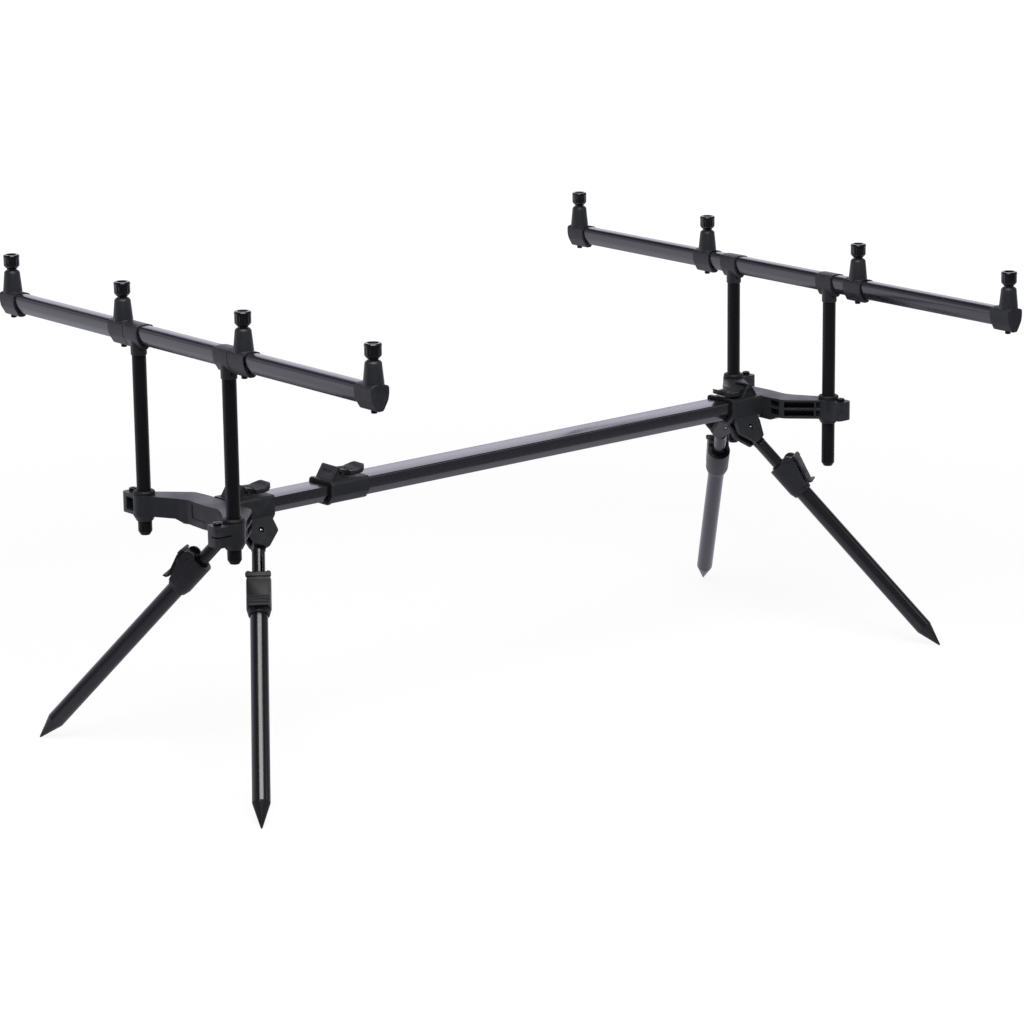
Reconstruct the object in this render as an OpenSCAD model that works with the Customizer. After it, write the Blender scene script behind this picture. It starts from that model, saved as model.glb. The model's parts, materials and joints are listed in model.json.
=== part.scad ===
// Telescopic rod pod: a ridge on four folding legs, with two buzz bars that carry eight rests.
// Millimetres, +Z up, +X to the front, +Y to the left.
// The origin lies on the ground, below the middle of the ridge.

/* [Stance] */
// Distance between the rear and the front buzz bar
bar_spread = 791; // [740:1:960]
// Leg from its pivot to the point of its spike
leg_length = 314; // [300:1:380]
// Sideways splay of the legs from upright, in degrees
leg_splay = 36.2; // [32:0.1:40]
// Outward lean of the legs along the ridge, in degrees
leg_lean = 24; // [18:0.1:26]

/* [Ridge tubes] */
// Width of the outer tube
tube_w = 32.2; // [29:0.1:36]
// Height of the outer tube
tube_h = 19.6; // [17:0.1:23]
// Height of the tube's upright sides, above the chamfers
tube_side_h = 11.5; // [9:0.1:14]
// Width of the tube's underside
tube_base_w = 20.2; // [16:0.1:24]
// Wall of both tubes
tube_wall = 1.2; // [1:0.1:1.6]
// Length of the inner tube
inner_len = 500; // [440:1:560]
// Bare stretch of inner tube between the rear clamp and the lock sleeve
inner_bare = 70; // [66:1:200]

/* [Lock sleeve and levers] */
// Length of the lock sleeve
sleeve_len = 48; // [44:0.5:60]
// Wall of the lock sleeve
sleeve_wall = 1.9; // [1.5:0.1:2.6]
// Width of a lever housing
housing_w = 26; // [24:0.5:30]
// Height of a lever housing
housing_h = 14.5; // [13.5:0.1:16]
// Length of the lever from the housing's crest to the paddle's end
lever_reach = 37.4; // [34:0.1:44]
// Diameter of the lever pins
lever_pin_d = 3; // [2.5:0.1:3.4]

/* [Heads] */
// Length of a clamp along the ridge
clamp_len = 46; // [44:0.5:56]
// Wall of a clamp beside the tube
clamp_wall = 3; // [2.6:0.1:4.5]
// Floor of a clamp below the tube
clamp_floor = 3.4; // [3:0.1:5]
// Distance of the clamp's outer end from the bar's plane
clamp_back = 44; // [42:0.5:54]
// Leg pivots from the bar's plane
pivot_in = 68; // [66:0.5:72]
// Thickness of a cheek plate
cheek_t = 4; // [3.5:0.1:4.5]
// Diameter of a leg pivot pin
pivot_pin_d = 6; // [5:0.1:7]
// Height of the yoke arms
arm_h = 20.5; // [18:0.1:24]
// Diameter of an upright socket
socket_d = 23; // [21.5:0.1:26]
// Distance from a socket's middle to the end of its clamp nose
nose_len = 26; // [24:0.1:28]

/* [Legs] */
// Diameter of the upper rods
rod_d = 13; // [12:0.1:13.4]
// Diameter of the lower tubes
lower_d = 17.6; // [16.6:0.1:18.6]
// Thickness of the flat eye on an upper rod
eye_t = 6; // [5:0.1:7]
// Diameter of the round end of the eye
eye_d = 17; // [15:0.1:18]
// Room between the hidden end of an upper rod and the plug of the spike
rod_room = 19; // [8:1:60]
// Distance from the pivot to the top of the lock collar
collar_drop = 52; // [50:0.5:60]
// Diameter of the lock collar
collar_d = 24.6; // [24:0.1:27]
// Length of the spike's cone
spike_len = 26; // [18:0.5:36]

/* [Buzz bars] */
// Width of a bar tube
bar_w = 17; // [16:0.1:20]
// Height of a bar tube
bar_h = 20.1; // [18:0.1:23]
// Width of a bar tube's narrow underside
bar_foot = 5.2; // [4.6:0.1:6]
// Distance between the two end rests of the rear bar
rear_span = 597; // [480:1:700]
// Distance between the two end rests of the front bar
front_span = 670; // [480:1:760]
// Distance between the two inner rests of the rear bar
rear_inner = 200; // [200:1:300]
// Distance between the two inner rests of the front bar
front_inner = 236; // [201:1:320]
// Distance between the two uprights of a bar
upright_gap = 150; // [140:0.5:150]
// Diameter of the uprights
upright_d = 14; // [12:0.1:15]
// Length of the uprights
upright_len = 191.5; // [186:0.5:240]
// Bare length of the rear uprights between socket ring and tee
rear_rise = 136; // [20:0.5:140]
// Bare length of the front uprights between socket ring and tee
front_rise = 102.7; // [20:0.1:140]

/* [Rests] */
// Length of a rest's collar along the bar
rest_len = 26; // [22:0.1:26]
// Length of a tee's collar along the bar
tee_len = 23.4; // [20:0.1:23.4]
// Diameter of a rest's cone at its foot
cone_base_d = 19.5; // [17:0.1:20.5]
// Diameter of a rest's cone at its top
cone_top_d = 15.8; // [14:0.1:17]
// Height of a rest's cone above its collar
cone_h = 20; // [15:0.1:26]
// Diameter of a thumb nut
nut_d = 16.5; // [15:0.1:20]
// Height of a thumb nut
nut_h = 14; // [12:0.1:20]
// Tapped hole in a thumb nut, at its thread's crests
nut_hole_d = 8.4; // [6:0.1:9]

/* [Clearances] */
// Gap between the two ridge tubes, and between a rest and its bar
slide_gap = 0.3; // [0.2:0.05:0.5]
// Gap round pins, journals and other running fits
run_gap = 0.05; // [0.03:0.01:0.1]
// Gap between pieces that are pressed or bonded together
seat_gap = 0.03; // [0.02:0.01:0.05]

/* [Hidden] */
$fn = 72;
// Steps in a rounded corner of an outline
arc_steps = 4;
// Least corner radius of an outline
sharp_r = 0.2;
// Overshoot of a cut past the face it opens
past = 1;

// Colours, as plain as the solids
black_tube = [0.13, 0.13, 0.15];
moulding = [0.18, 0.18, 0.20];
black_metal = [0.07, 0.07, 0.08];
bright_metal = [0.62, 0.62, 0.64];
rubber = [0.04, 0.04, 0.04];

// Outline helpers: points run anticlockwise, and a positive inset goes inwards
function unit(v) = v / norm(v);
function left_of(a, b) = let (t = unit(b - a)) [-t[1], t[0]];
function before(pts, i) = pts[(i + len(pts) - 1) % len(pts)];
function after(pts, i) = pts[(i + 1) % len(pts)];
function inset(pts, d) = [
    for (i = [0 : len(pts) - 1])
        let (a = left_of(before(pts, i), pts[i]), b = left_of(pts[i], after(pts, i)))
            pts[i] + d * (a + b) / (1 + a * b)
];
function fillet(p, q, r, radius) =
    let (
        u = unit(p - q),
        v = unit(r - q),
        half = acos(u * v) / 2,
        middle = q + unit(u + v) * radius / sin(half),
        first = q + u * radius / tan(half) - middle,
        last = q + v * radius / tan(half) - middle,
        start = atan2(first[1], first[0]),
        turn = atan2(first[0] * last[1] - first[1] * last[0], first * last)
    ) [
        for (k = [0 : arc_steps])
            let (a = start + turn * k / arc_steps) middle + radius * [cos(a), sin(a)]
    ];
function rounded(pts, radii) = [
    for (i = [0 : len(pts) - 1]) each fillet(before(pts, i), pts[i], after(pts, i), radii[i])
];
function section(pts, radii, d) = rounded(inset(pts, d), [for (r = radii) max(r - d, sharp_r)]);

// An outline in Y and Z drawn out along X, and one in X and Z drawn out along Y
module along_x(x0, x1) { translate([x0, 0, 0]) rotate([90, 0, 90]) linear_extrude(x1 - x0) children(); }
module along_y(y0, y1) { translate([0, y1, 0]) rotate([90, 0, 0]) linear_extrude(y1 - y0) children(); }
module pin_y(r, length) { rotate([90, 0, 0]) cylinder(r = r, h = length, center = true); }

// Heights, which follow from the legs
spike_tip_r = 0.8;
leg_tilt = acos(cos(leg_lean) * cos(leg_splay));
pivot_z = leg_length * cos(leg_tilt) + spike_tip_r * sin(leg_tilt);
pivot_below = 9;
ridge_top = pivot_z + pivot_below + clamp_floor + tube_h;

// Ridge section, with its top at height 0
ridge_outline = [
    [-tube_base_w / 2, -tube_h], [tube_base_w / 2, -tube_h], [tube_w / 2, -tube_side_h],
    [tube_w / 2, 0], [-tube_w / 2, 0], [-tube_w / 2, -tube_side_h]
];
ridge_corners = [2, 2, 2.5, 1.5, 1.5, 2.5];
inner_inset = tube_wall + slide_gap;
module ridge_bar(x0, x1, d) {
    translate([0, 0, ridge_top]) along_x(x0, x1) polygon(section(ridge_outline, ridge_corners, d));
}

// Places along the ridge
half_spread = bar_spread / 2;
clamp_mouth = clamp_back + clamp_len;
clamp_end_wall = 4;
tube_end = half_spread - clamp_back - clamp_end_wall - slide_gap;
sleeve_x = clamp_mouth - half_spread + inner_bare;
sleeve_lip = 3.5;
sleeve_lip_out = 0.9;
outer_x = sleeve_x + sleeve_lip;
mouth_gap = 0.4;

module outer_tube() {
    color(black_tube) difference() {
        ridge_bar(outer_x, tube_end, 0);
        ridge_bar(outer_x - past, tube_end + past, tube_wall);
    }
}

module inner_tube() {
    color(black_tube) difference() {
        ridge_bar(-tube_end, inner_len - tube_end, inner_inset);
        ridge_bar(-tube_end - past, inner_len - tube_end + past, inner_inset + tube_wall);
    }
}

// A plastic bush plugs the inner tube's hidden end and runs in the outer tube
bush_head = 8;
bush_spigot = 15;
module inner_bush() {
    color(rubber) union() {
        ridge_bar(inner_len - tube_end, inner_len - tube_end + bush_head, tube_wall + 2 * run_gap);
        ridge_bar(
            inner_len - tube_end - bush_spigot, inner_len - tube_end + past,
            inner_inset + tube_wall + seat_gap
        );
    }
}

// Lever housing: a wedge on the piece that it locks, its crest above the local origin
housing_back = 9.5;
housing_front = 11.5;
housing_sink = 1;
housing_wall = 2.6;
housing_floor = 0.6;
housing_slope = atan2(housing_h, housing_back);
cheek_gap = 0.3;
lever_head_w = housing_w - 8.8;
lever_pin_x = 3.4;
lever_pin_z = 6;
grip_slot_w = 14;
grip_slot_h = 1.8;
grip_slot_deep = 0.9;
// Triangular recess in each side of the housing, and the ribs that frame it
recess_deep = 1.2;
recess_rib = 2.3;
recess_outline = inset([[-housing_back, 0], [housing_front, 0], [0, housing_h]], recess_rib);
function housing_back_x(z, wall) = -housing_back + z / tan(housing_slope) + wall / sin(housing_slope);
module lever_housing() {
    high = 3 * housing_h;
    slot_z = housing_h / 2;
    difference() {
        along_y(-housing_w / 2, housing_w / 2) polygon(rounded(
            [
                [-housing_back, -housing_sink], [housing_front, -housing_sink],
                [housing_front, 0], [0, housing_h], [-housing_back, 0]
            ],
            [sharp_r, sharp_r, sharp_r, 1.6, sharp_r]
        ));
        along_y(-lever_head_w / 2 - cheek_gap, lever_head_w / 2 + cheek_gap) polygon([
            [housing_back_x(housing_floor, housing_wall), housing_floor], [high, housing_floor],
            [high, high], [housing_back_x(high, housing_wall), high]
        ]);
        along_y(-grip_slot_w / 2, grip_slot_w / 2) polygon([
            [housing_back_x(slot_z, -past), slot_z], [housing_back_x(slot_z, grip_slot_deep), slot_z],
            [housing_back_x(slot_z + grip_slot_h, grip_slot_deep), slot_z + grip_slot_h],
            [housing_back_x(slot_z + grip_slot_h, -past), slot_z + grip_slot_h]
        ]);
        for (face = [-1, 1]) translate([0, face * housing_w / 2, 0])
            along_y(-recess_deep, recess_deep) polygon(recess_outline);
        translate([lever_pin_x, 0, lever_pin_z]) pin_y(lever_pin_d / 2 + seat_gap, housing_w + past);
    }
}

// Lever: a cam between the housing's cheeks, and a wide thumb paddle with an upturned end
cam_r = 4.2;
paddle_x = 15;
paddle_corner_r = 11;
lever_low = 2.2;
module cam_lever() {
    tip = lever_reach;
    color(moulding) difference() {
        union() {
            translate([lever_pin_x, 0, lever_pin_z]) pin_y(cam_r, lever_head_w);
            along_y(-lever_head_w / 2, lever_head_w / 2) polygon([
                [lever_pin_x, lever_pin_z - cam_r], [paddle_x + past, lever_low],
                [paddle_x + past, 7], [lever_pin_x + 2.8, 9.1], [lever_pin_x, lever_pin_z + cam_r]
            ]);
            intersection() {
                along_y(-housing_w / 2, housing_w / 2) polygon([
                    [paddle_x, lever_low], [tip - 12, 2.4], [tip - 6, 3.6], [tip - 0.8, 6.6],
                    [tip, 9.6], [tip - 1.6, 10.2], [tip - 6.4, 7.9], [tip - 12.4, 6.3], [paddle_x, 7]
                ]);
                linear_extrude(housing_h) polygon(rounded(
                    [
                        [paddle_x - past, -housing_w / 2 - past], [tip, -housing_w / 2],
                        [tip, housing_w / 2], [paddle_x - past, housing_w / 2 + past]
                    ],
                    [sharp_r, paddle_corner_r, paddle_corner_r, sharp_r]
                ));
            }
        }
        translate([lever_pin_x, 0, lever_pin_z]) pin_y(lever_pin_d / 2 + run_gap, housing_w);
    }
}
module cam_pin() {
    translate([lever_pin_x, 0, lever_pin_z]) pin_y(lever_pin_d / 2, housing_w - 2 * recess_deep - past);
}

// The ridge lock: sleeve bonded to the outer tube's end, with its lever on top
sleeve_crest = 13;
module at_sleeve_lever() { translate([sleeve_x + sleeve_crest, 0, ridge_top + sleeve_wall]) children(); }
module lock_sleeve() {
    color(moulding) difference() {
        union() {
            ridge_bar(sleeve_x, sleeve_x + sleeve_len, -sleeve_wall);
            ridge_bar(sleeve_x, sleeve_x + sleeve_lip, -sleeve_wall - sleeve_lip_out);
            at_sleeve_lever() lever_housing();
        }
        ridge_bar(outer_x, sleeve_x + sleeve_len + past, -seat_gap);
        ridge_bar(sleeve_x - past, outer_x + past, inner_inset - mouth_gap);
    }
}
module lock_lever() { at_sleeve_lever() cam_lever(); }
module lock_pin() { color(bright_metal) at_sleeve_lever() cam_pin(); }

// Head frames: X runs from the bar's plane towards the middle of the ridge
module at_head(end) {
    if (end == "rear") translate([-half_spread, 0, 0]) children();
    else translate([half_spread, 0, 0]) rotate([0, 0, 180]) children();
}
// Leg pivots outside the clamp's sides
pivot_proud = 0.9;
pivot_out = tube_w / 2 + clamp_wall + pivot_proud;
module at_pivot(side) {
    translate([pivot_in, side * pivot_out, pivot_z]) rotate([side * leg_splay, 0, 0]) children();
}

// Clamp: a moulded box on the tube's end, a lever housing on top and cheek plates for the legs
clamp_roof = 2;
clamp_crest = 13;
clamp_lip = 4;
clamp_lip_out = 1.4;
clamp_w = tube_w + 2 * clamp_wall;
clamp_outline = [
    [-tube_base_w / 2 - 5, -tube_h - clamp_floor], [tube_base_w / 2 + 5, -tube_h - clamp_floor],
    [clamp_w / 2, -tube_side_h - 6], [clamp_w / 2, clamp_roof],
    [-clamp_w / 2, clamp_roof], [-clamp_w / 2, -tube_side_h - 6]
];
clamp_corners = [2, 2, 3, 2, 2, 3];
fork_gap = eye_t + 2 * slide_gap;
// Cheek plate from its pivot: X along the ridge, Z up the leg's plane
cheek_outline = [[-12, -13], [1, -19], [19, -4], [17.5, 14], [17, 26], [-15, 26], [-16, 5]];
cheek_corners = [4, 4, 4, 2, 1, 1, 3];
eye_room = eye_d / 2 + 1.5;
module at_clamp_lever() { translate([clamp_back + clamp_crest, 0, ridge_top + clamp_roof]) children(); }
module clamp_solid(x0, x1, d) {
    translate([0, 0, ridge_top]) along_x(x0, x1) polygon(section(clamp_outline, clamp_corners, d));
}
module clamp(tube_inset, lipped) {
    color(moulding) difference() {
        union() {
            clamp_solid(clamp_back, clamp_mouth, 0);
            if (lipped) clamp_solid(clamp_mouth - clamp_lip, clamp_mouth, -clamp_lip_out);
            at_clamp_lever() lever_housing();
            for (side = [-1, 1]) at_pivot(side)
                along_y(-fork_gap / 2 - cheek_t, fork_gap / 2 + cheek_t)
                    polygon(rounded(cheek_outline, cheek_corners));
        }
        translate([-half_spread, 0, 0])
            ridge_bar(
                half_spread + clamp_back + clamp_end_wall, half_spread + clamp_mouth + past,
                tube_inset - seat_gap
            );
        for (side = [-1, 1]) at_pivot(side) {
            translate([-clamp_len, -fork_gap / 2, -clamp_len])
                cube([2 * clamp_len, fork_gap, clamp_len + eye_room]);
            pin_y(pivot_pin_d / 2 + seat_gap, 3 * clamp_w);
        }
    }
}
module head_lever() { at_clamp_lever() cam_lever(); }

// Yoke: hub and two arms, each with a round socket and a clamp nose beside it
arm_top = ridge_top + 1;
arm_angle = 45;
arm_in = 10.5;
arm_out = 11;
// Where an arm widens towards the hub: distances from the socket, and the added width
arm_root = 49;
arm_swell = 37;
arm_straight = 9;
swell_wider = 7.4;
// Outer face of the hub: its distance from the bar's plane, and its nearly flat part
hub_back = 16;
hub_bow = 1.5;
hub_flat = 25;
hub_half = 28;
// How far the hub reaches below the arms, half its width there, and the run of its sloping ends
hub_drop = 4;
hub_low_half = 28;
hub_low_slope = 16;
// Sunk panel in the hub's outer face
panel_deep = 1;
panel_edge = 3.5;
panel_span = [-4, 19];
panel_reach = hub_back + 2 * hub_bow + panel_deep;
taper_h = 6;
// Clamp noses: half their width, the window in the left one and the slits
nose_half = 9.75;
nose_corner_r = 5;
window_span = [3.5, 17];
window_h = 12.5;
window_web = 4;
slit_w = 2;
side_slit_h = 1.2;
pocket_wall = 2.4;
// Pockets in an arm: from and to along it, and depth
pockets = [[-47.5, -15.4, 14], [-13.2, -8.8, 5]];
hub_pocket_y = [30, 42];
hub_pocket_deep = 7;
// A point on an arm: u outwards along it from the socket, v towards the ridge
function arm_point(u, v) =
    [0, upright_gap / 2] + u * [-sin(arm_angle), cos(arm_angle)] + v * [cos(arm_angle), sin(arm_angle)];
function flip(pts) = [for (i = [len(pts) - 1 : -1 : 0]) [pts[i][0], -pts[i][1]]];
arm_outline = [
    [clamp_back, hub_half], arm_point(-arm_root, arm_in), arm_point(0, arm_in), arm_point(0, -arm_out),
    arm_point(-arm_straight, -arm_out), arm_point(-arm_swell, -arm_out - swell_wider),
    [hub_back + hub_bow, hub_flat]
];
arm_corners = [2, 12, 2, 2, 18, 14, 10];
function backwards(list) = [for (i = [len(list) - 1 : -1 : 0]) list[i]];
yoke_outline = concat(arm_outline, [[hub_back, 0]], flip(arm_outline));
yoke_corners = concat(arm_corners, [40], backwards(arm_corners));
module at_socket(side) {
    mirror([0, side < 0 ? 1 : 0, 0]) translate([0, upright_gap / 2, arm_top]) children();
}
module on_arm(side) { at_socket(side) rotate([0, 0, 90 + arm_angle]) children(); }
// The noses turn the same way round: the left one points sideways, the right one away from the ridge
module at_nose(side) {
    translate([0, side * upright_gap / 2, arm_top]) rotate([0, 0, side > 0 ? 90 : 180]) children();
}
module yoke() {
    row_h = (arm_h - 3 * pocket_wall) / 2;
    color(moulding) difference() {
        union() {
            translate([0, 0, arm_top - arm_h]) linear_extrude(arm_h)
                polygon(rounded(yoke_outline, yoke_corners));
            intersection() {
                translate([0, 0, arm_top - arm_h - hub_drop]) linear_extrude(hub_drop + past)
                    polygon(rounded(yoke_outline, yoke_corners));
                translate([0, 0, arm_top - arm_h]) along_x(0, clamp_back + past) polygon([
                    [-hub_low_half, -hub_drop - past], [hub_low_half, -hub_drop - past],
                    [hub_low_half + hub_low_slope, 2 * past], [-hub_low_half - hub_low_slope, 2 * past]
                ]);
            }
            for (side = [-1, 1]) {
                at_socket(side) {
                    translate([0, 0, -arm_h]) cylinder(d = socket_d, h = arm_h);
                    translate([0, 0, -arm_h - taper_h])
                        cylinder(d1 = upright_d + 2.4, d2 = socket_d, h = taper_h);
                }
                at_nose(side) translate([0, 0, -arm_h]) linear_extrude(arm_h) polygon(rounded(
                    [[0, -nose_half], [nose_len, -nose_half], [nose_len, nose_half], [0, nose_half]],
                    [sharp_r, nose_corner_r, nose_corner_r, sharp_r]
                ));
            }
        }
        difference() {
            translate([-clamp_back, panel_span[0], arm_top - arm_h + panel_edge])
                cube([clamp_back + panel_reach, panel_span[1] - panel_span[0], arm_h - 2 * panel_edge]);
            translate([0, 0, arm_top - arm_h]) linear_extrude(arm_h)
                polygon(rounded(inset(yoke_outline, panel_deep), yoke_corners));
        }
        for (side = [-1, 1]) {
            at_socket(side) translate([0, 0, -arm_h - taper_h - past])
                cylinder(d = upright_d + 2 * run_gap, h = arm_h + taper_h + 2 * past);
            at_nose(side) {
                translate([0, -slit_w / 2, -arm_h - taper_h - past])
                    cube([window_span[1], slit_w, arm_h + taper_h + 2 * past]);
                translate([clamp_screw_u, 0, -clamp_screw_len])
                    cylinder(d = clamp_screw_d + 2 * seat_gap, h = clamp_screw_len + past);
            }
            for (row = [0, 1]) {
                low = -arm_h + pocket_wall + row * (row_h + pocket_wall);
                on_arm(side) for (pocket = pockets)
                    translate([pocket[0], -arm_in - past, low])
                        cube([pocket[1] - pocket[0], pocket[2] + past, row_h]);
                at_socket(side) translate([
                    clamp_back - hub_pocket_deep, hub_pocket_y[0] - upright_gap / 2, low
                ])
                    cube([hub_pocket_deep + past, hub_pocket_y[1] - hub_pocket_y[0], row_h]);
            }
        }
        at_nose(1) translate([window_span[0], window_web, -(arm_h + window_h) / 2])
            cube([window_span[1] - window_span[0], socket_d, window_h]);
        at_nose(-1) translate([window_span[1] / 2, 0, -(arm_h + side_slit_h) / 2])
            cube([socket_d, socket_d, side_slit_h]);
    }
}

// Fasteners of one head: lever pin, leg pivot pins and the screws in the clamp noses
clamp_screw_u = (window_span[1] + nose_len) / 2 - 0.5;
clamp_screw_d = 3;
clamp_screw_len = 9;
clamp_screw_head_d = 8;
clamp_screw_head_h = 3.2;
module head_fasteners() {
    color(bright_metal) {
        at_clamp_lever() cam_pin();
        for (side = [-1, 1]) {
            at_pivot(side) pin_y(pivot_pin_d / 2, fork_gap + 2 * cheek_t - past);
            at_nose(side) translate([clamp_screw_u, 0, 0]) {
                translate([0, 0, -clamp_screw_len + past])
                    cylinder(d = clamp_screw_d, h = clamp_screw_len - past);
                cylinder(d = clamp_screw_head_d, h = clamp_screw_head_h);
            }
        }
    }
}

// Rubber rings on the sockets, round the uprights
ring_h = 4;
ring_d = 22;
ring_edge = 1.2;
module socket_rings() {
    hole = upright_d / 2 + 2 * run_gap;
    rim = max(ring_d, upright_d + 6) / 2;
    color(rubber) for (side = [-1, 1]) at_socket(side) rotate_extrude() polygon([
        [hole, 0], [rim, 0], [rim, ring_h - ring_edge], [rim - ring_edge, ring_h], [hole, ring_h]
    ]);
}

// Legs: local Z runs up the leg to the pivot at the local origin, and -X is the outward side
function turned(end, side) = (end == "rear" ? 1 : -1) * (side == "left" ? 1 : -1);
module at_leg(end, side) {
    at_head(end) at_pivot(turned(end, side)) rotate([0, leg_lean, 0]) children();
}
// The lock collar is turned on its leg, so that its lever faces up and outwards
lever_turn = atan2(sin(leg_splay), sin(leg_lean) * cos(leg_splay));
module at_collar(end, side) {
    at_leg(end, side) rotate([0, 0, -turned(end, side) * lever_turn]) children();
}
spike_plug = 20;
rod_len = leg_length - spike_len - spike_plug - rod_room;
rod_start = 21;
rod_wall = 1.5;
tang_plug = 20;
stop_pin_d = 2.4;
stop_pin_drop = collar_drop - 4.5;
stop_pin_proud = 0.4;
groove_w = 2.6;
groove_deep = 0.6;
module upper_rod() {
    bore_r = rod_d / 2 - rod_wall;
    color(black_tube) difference() {
        translate([0, 0, -rod_len]) cylinder(d = rod_d, h = rod_len - rod_start);
        translate([0, 0, -rod_len - past]) cylinder(r = bore_r, h = rod_len);
        for (face = [-1, 1])
            translate([-groove_w / 2, face * rod_d / 2 - groove_deep, -rod_len - past])
                cube([groove_w, 2 * groove_deep, rod_len - rod_start - 4]);
        translate([0, 0, -stop_pin_drop]) pin_y(stop_pin_d / 2 + seat_gap, 2 * rod_d);
    }
    color(moulding) difference() {
        union() {
            pin_y(eye_d / 2, eye_t);
            translate([-rod_d / 2, -eye_t / 2, seat_gap - rod_start])
                cube([rod_d, eye_t, rod_start - seat_gap]);
            translate([0, 0, -rod_start - tang_plug]) cylinder(r = bore_r - seat_gap, h = tang_plug + past);
        }
        pin_y(pivot_pin_d / 2 + run_gap, 2 * eye_t);
        translate([0, 0, -stop_pin_drop]) pin_y(stop_pin_d / 2 + seat_gap, 2 * rod_d);
    }
    color(bright_metal) translate([0, 0, -stop_pin_drop])
        pin_y(stop_pin_d / 2, rod_d + 2 * stop_pin_proud);
}

// Lock collar: bonded on the lower tube, with two ears that carry the lever's pin
collar_len = 39;
collar_taper = 7;
ear_t = 3;
ear_r = 7.6;
ear_in = collar_d / 2 - 4;
// How far the lever's window cuts in past the rod's face
window_bite = 2;
lever_out = rod_d / 2 + 4.5;
lever_drop = collar_drop + 4;
flip_cam_r = 4.2;
flip_lever_w = 22;
flip_foot_w = 19.6;
flip_lever_t = 2.3;
flange_w = 25;
flange_t = 3.2;
// Grip ribs on the strip: their places along the slope, and their size
rib_places = [0.05, 0.16, 0.27];
rib_part = 0.05;
rib_h = 0.5;
lower_top = lever_drop + flip_cam_r + 4;
collar_foot_wall = 1.6;
// Front of the collar and its ears: outward distance and height, sloping in to the lower end
slope_low = [lower_d / 2 + collar_foot_wall + 0.5, -collar_drop - collar_len + 5];
slope_high = [lever_out + 7, -lever_drop - 4];
function outward(pts) = [for (p = pts) [-p[0], p[1]]];
module lock_collar() {
    color(moulding) difference() {
        union() {
            translate([0, 0, -collar_drop - collar_len + collar_taper])
                cylinder(d = collar_d, h = collar_len - collar_taper);
            translate([0, 0, -collar_drop - collar_len])
                cylinder(d1 = lower_d + 2 * collar_foot_wall, d2 = collar_d, h = collar_taper);
            for (face = [-1, 1]) translate([0, face * (ear_in + ear_t / 2), 0]) {
                translate([-lever_out, 0, -lever_drop]) pin_y(ear_r, ear_t);
                along_y(-ear_t / 2, ear_t / 2) polygon(outward([
                    [0, -collar_drop - 2], [0, slope_low[1]], slope_low + [past, 0], slope_high + [past, 0],
                    [lever_out + ear_r / 2, -lever_drop], [lever_out, -lever_drop + ear_r - past]
                ]));
            }
        }
        translate([0, 0, -leg_length]) cylinder(d = rod_d + 2 * run_gap, h = leg_length);
        translate([0, 0, -leg_length]) cylinder(d = lower_d + 2 * seat_gap, h = leg_length - lower_top);
        along_y(-collar_d, collar_d) polygon(outward([
            [slope_low[0], -leg_length], slope_low, slope_high, [leg_length, slope_high[1]],
            [leg_length, -leg_length]
        ]));
        translate([-leg_length, -ear_in, -lower_top + past])
            cube([leg_length - rod_d / 2 + window_bite, 2 * ear_in, lower_top]);
        translate([-lever_out, 0, -lever_drop]) pin_y(lever_pin_d / 2 + seat_gap, 2 * collar_d);
    }
    color(bright_metal) translate([-lever_out, 0, -lever_drop])
        pin_y(lever_pin_d / 2, 2 * (ear_in + ear_t) - past);
}

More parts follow.
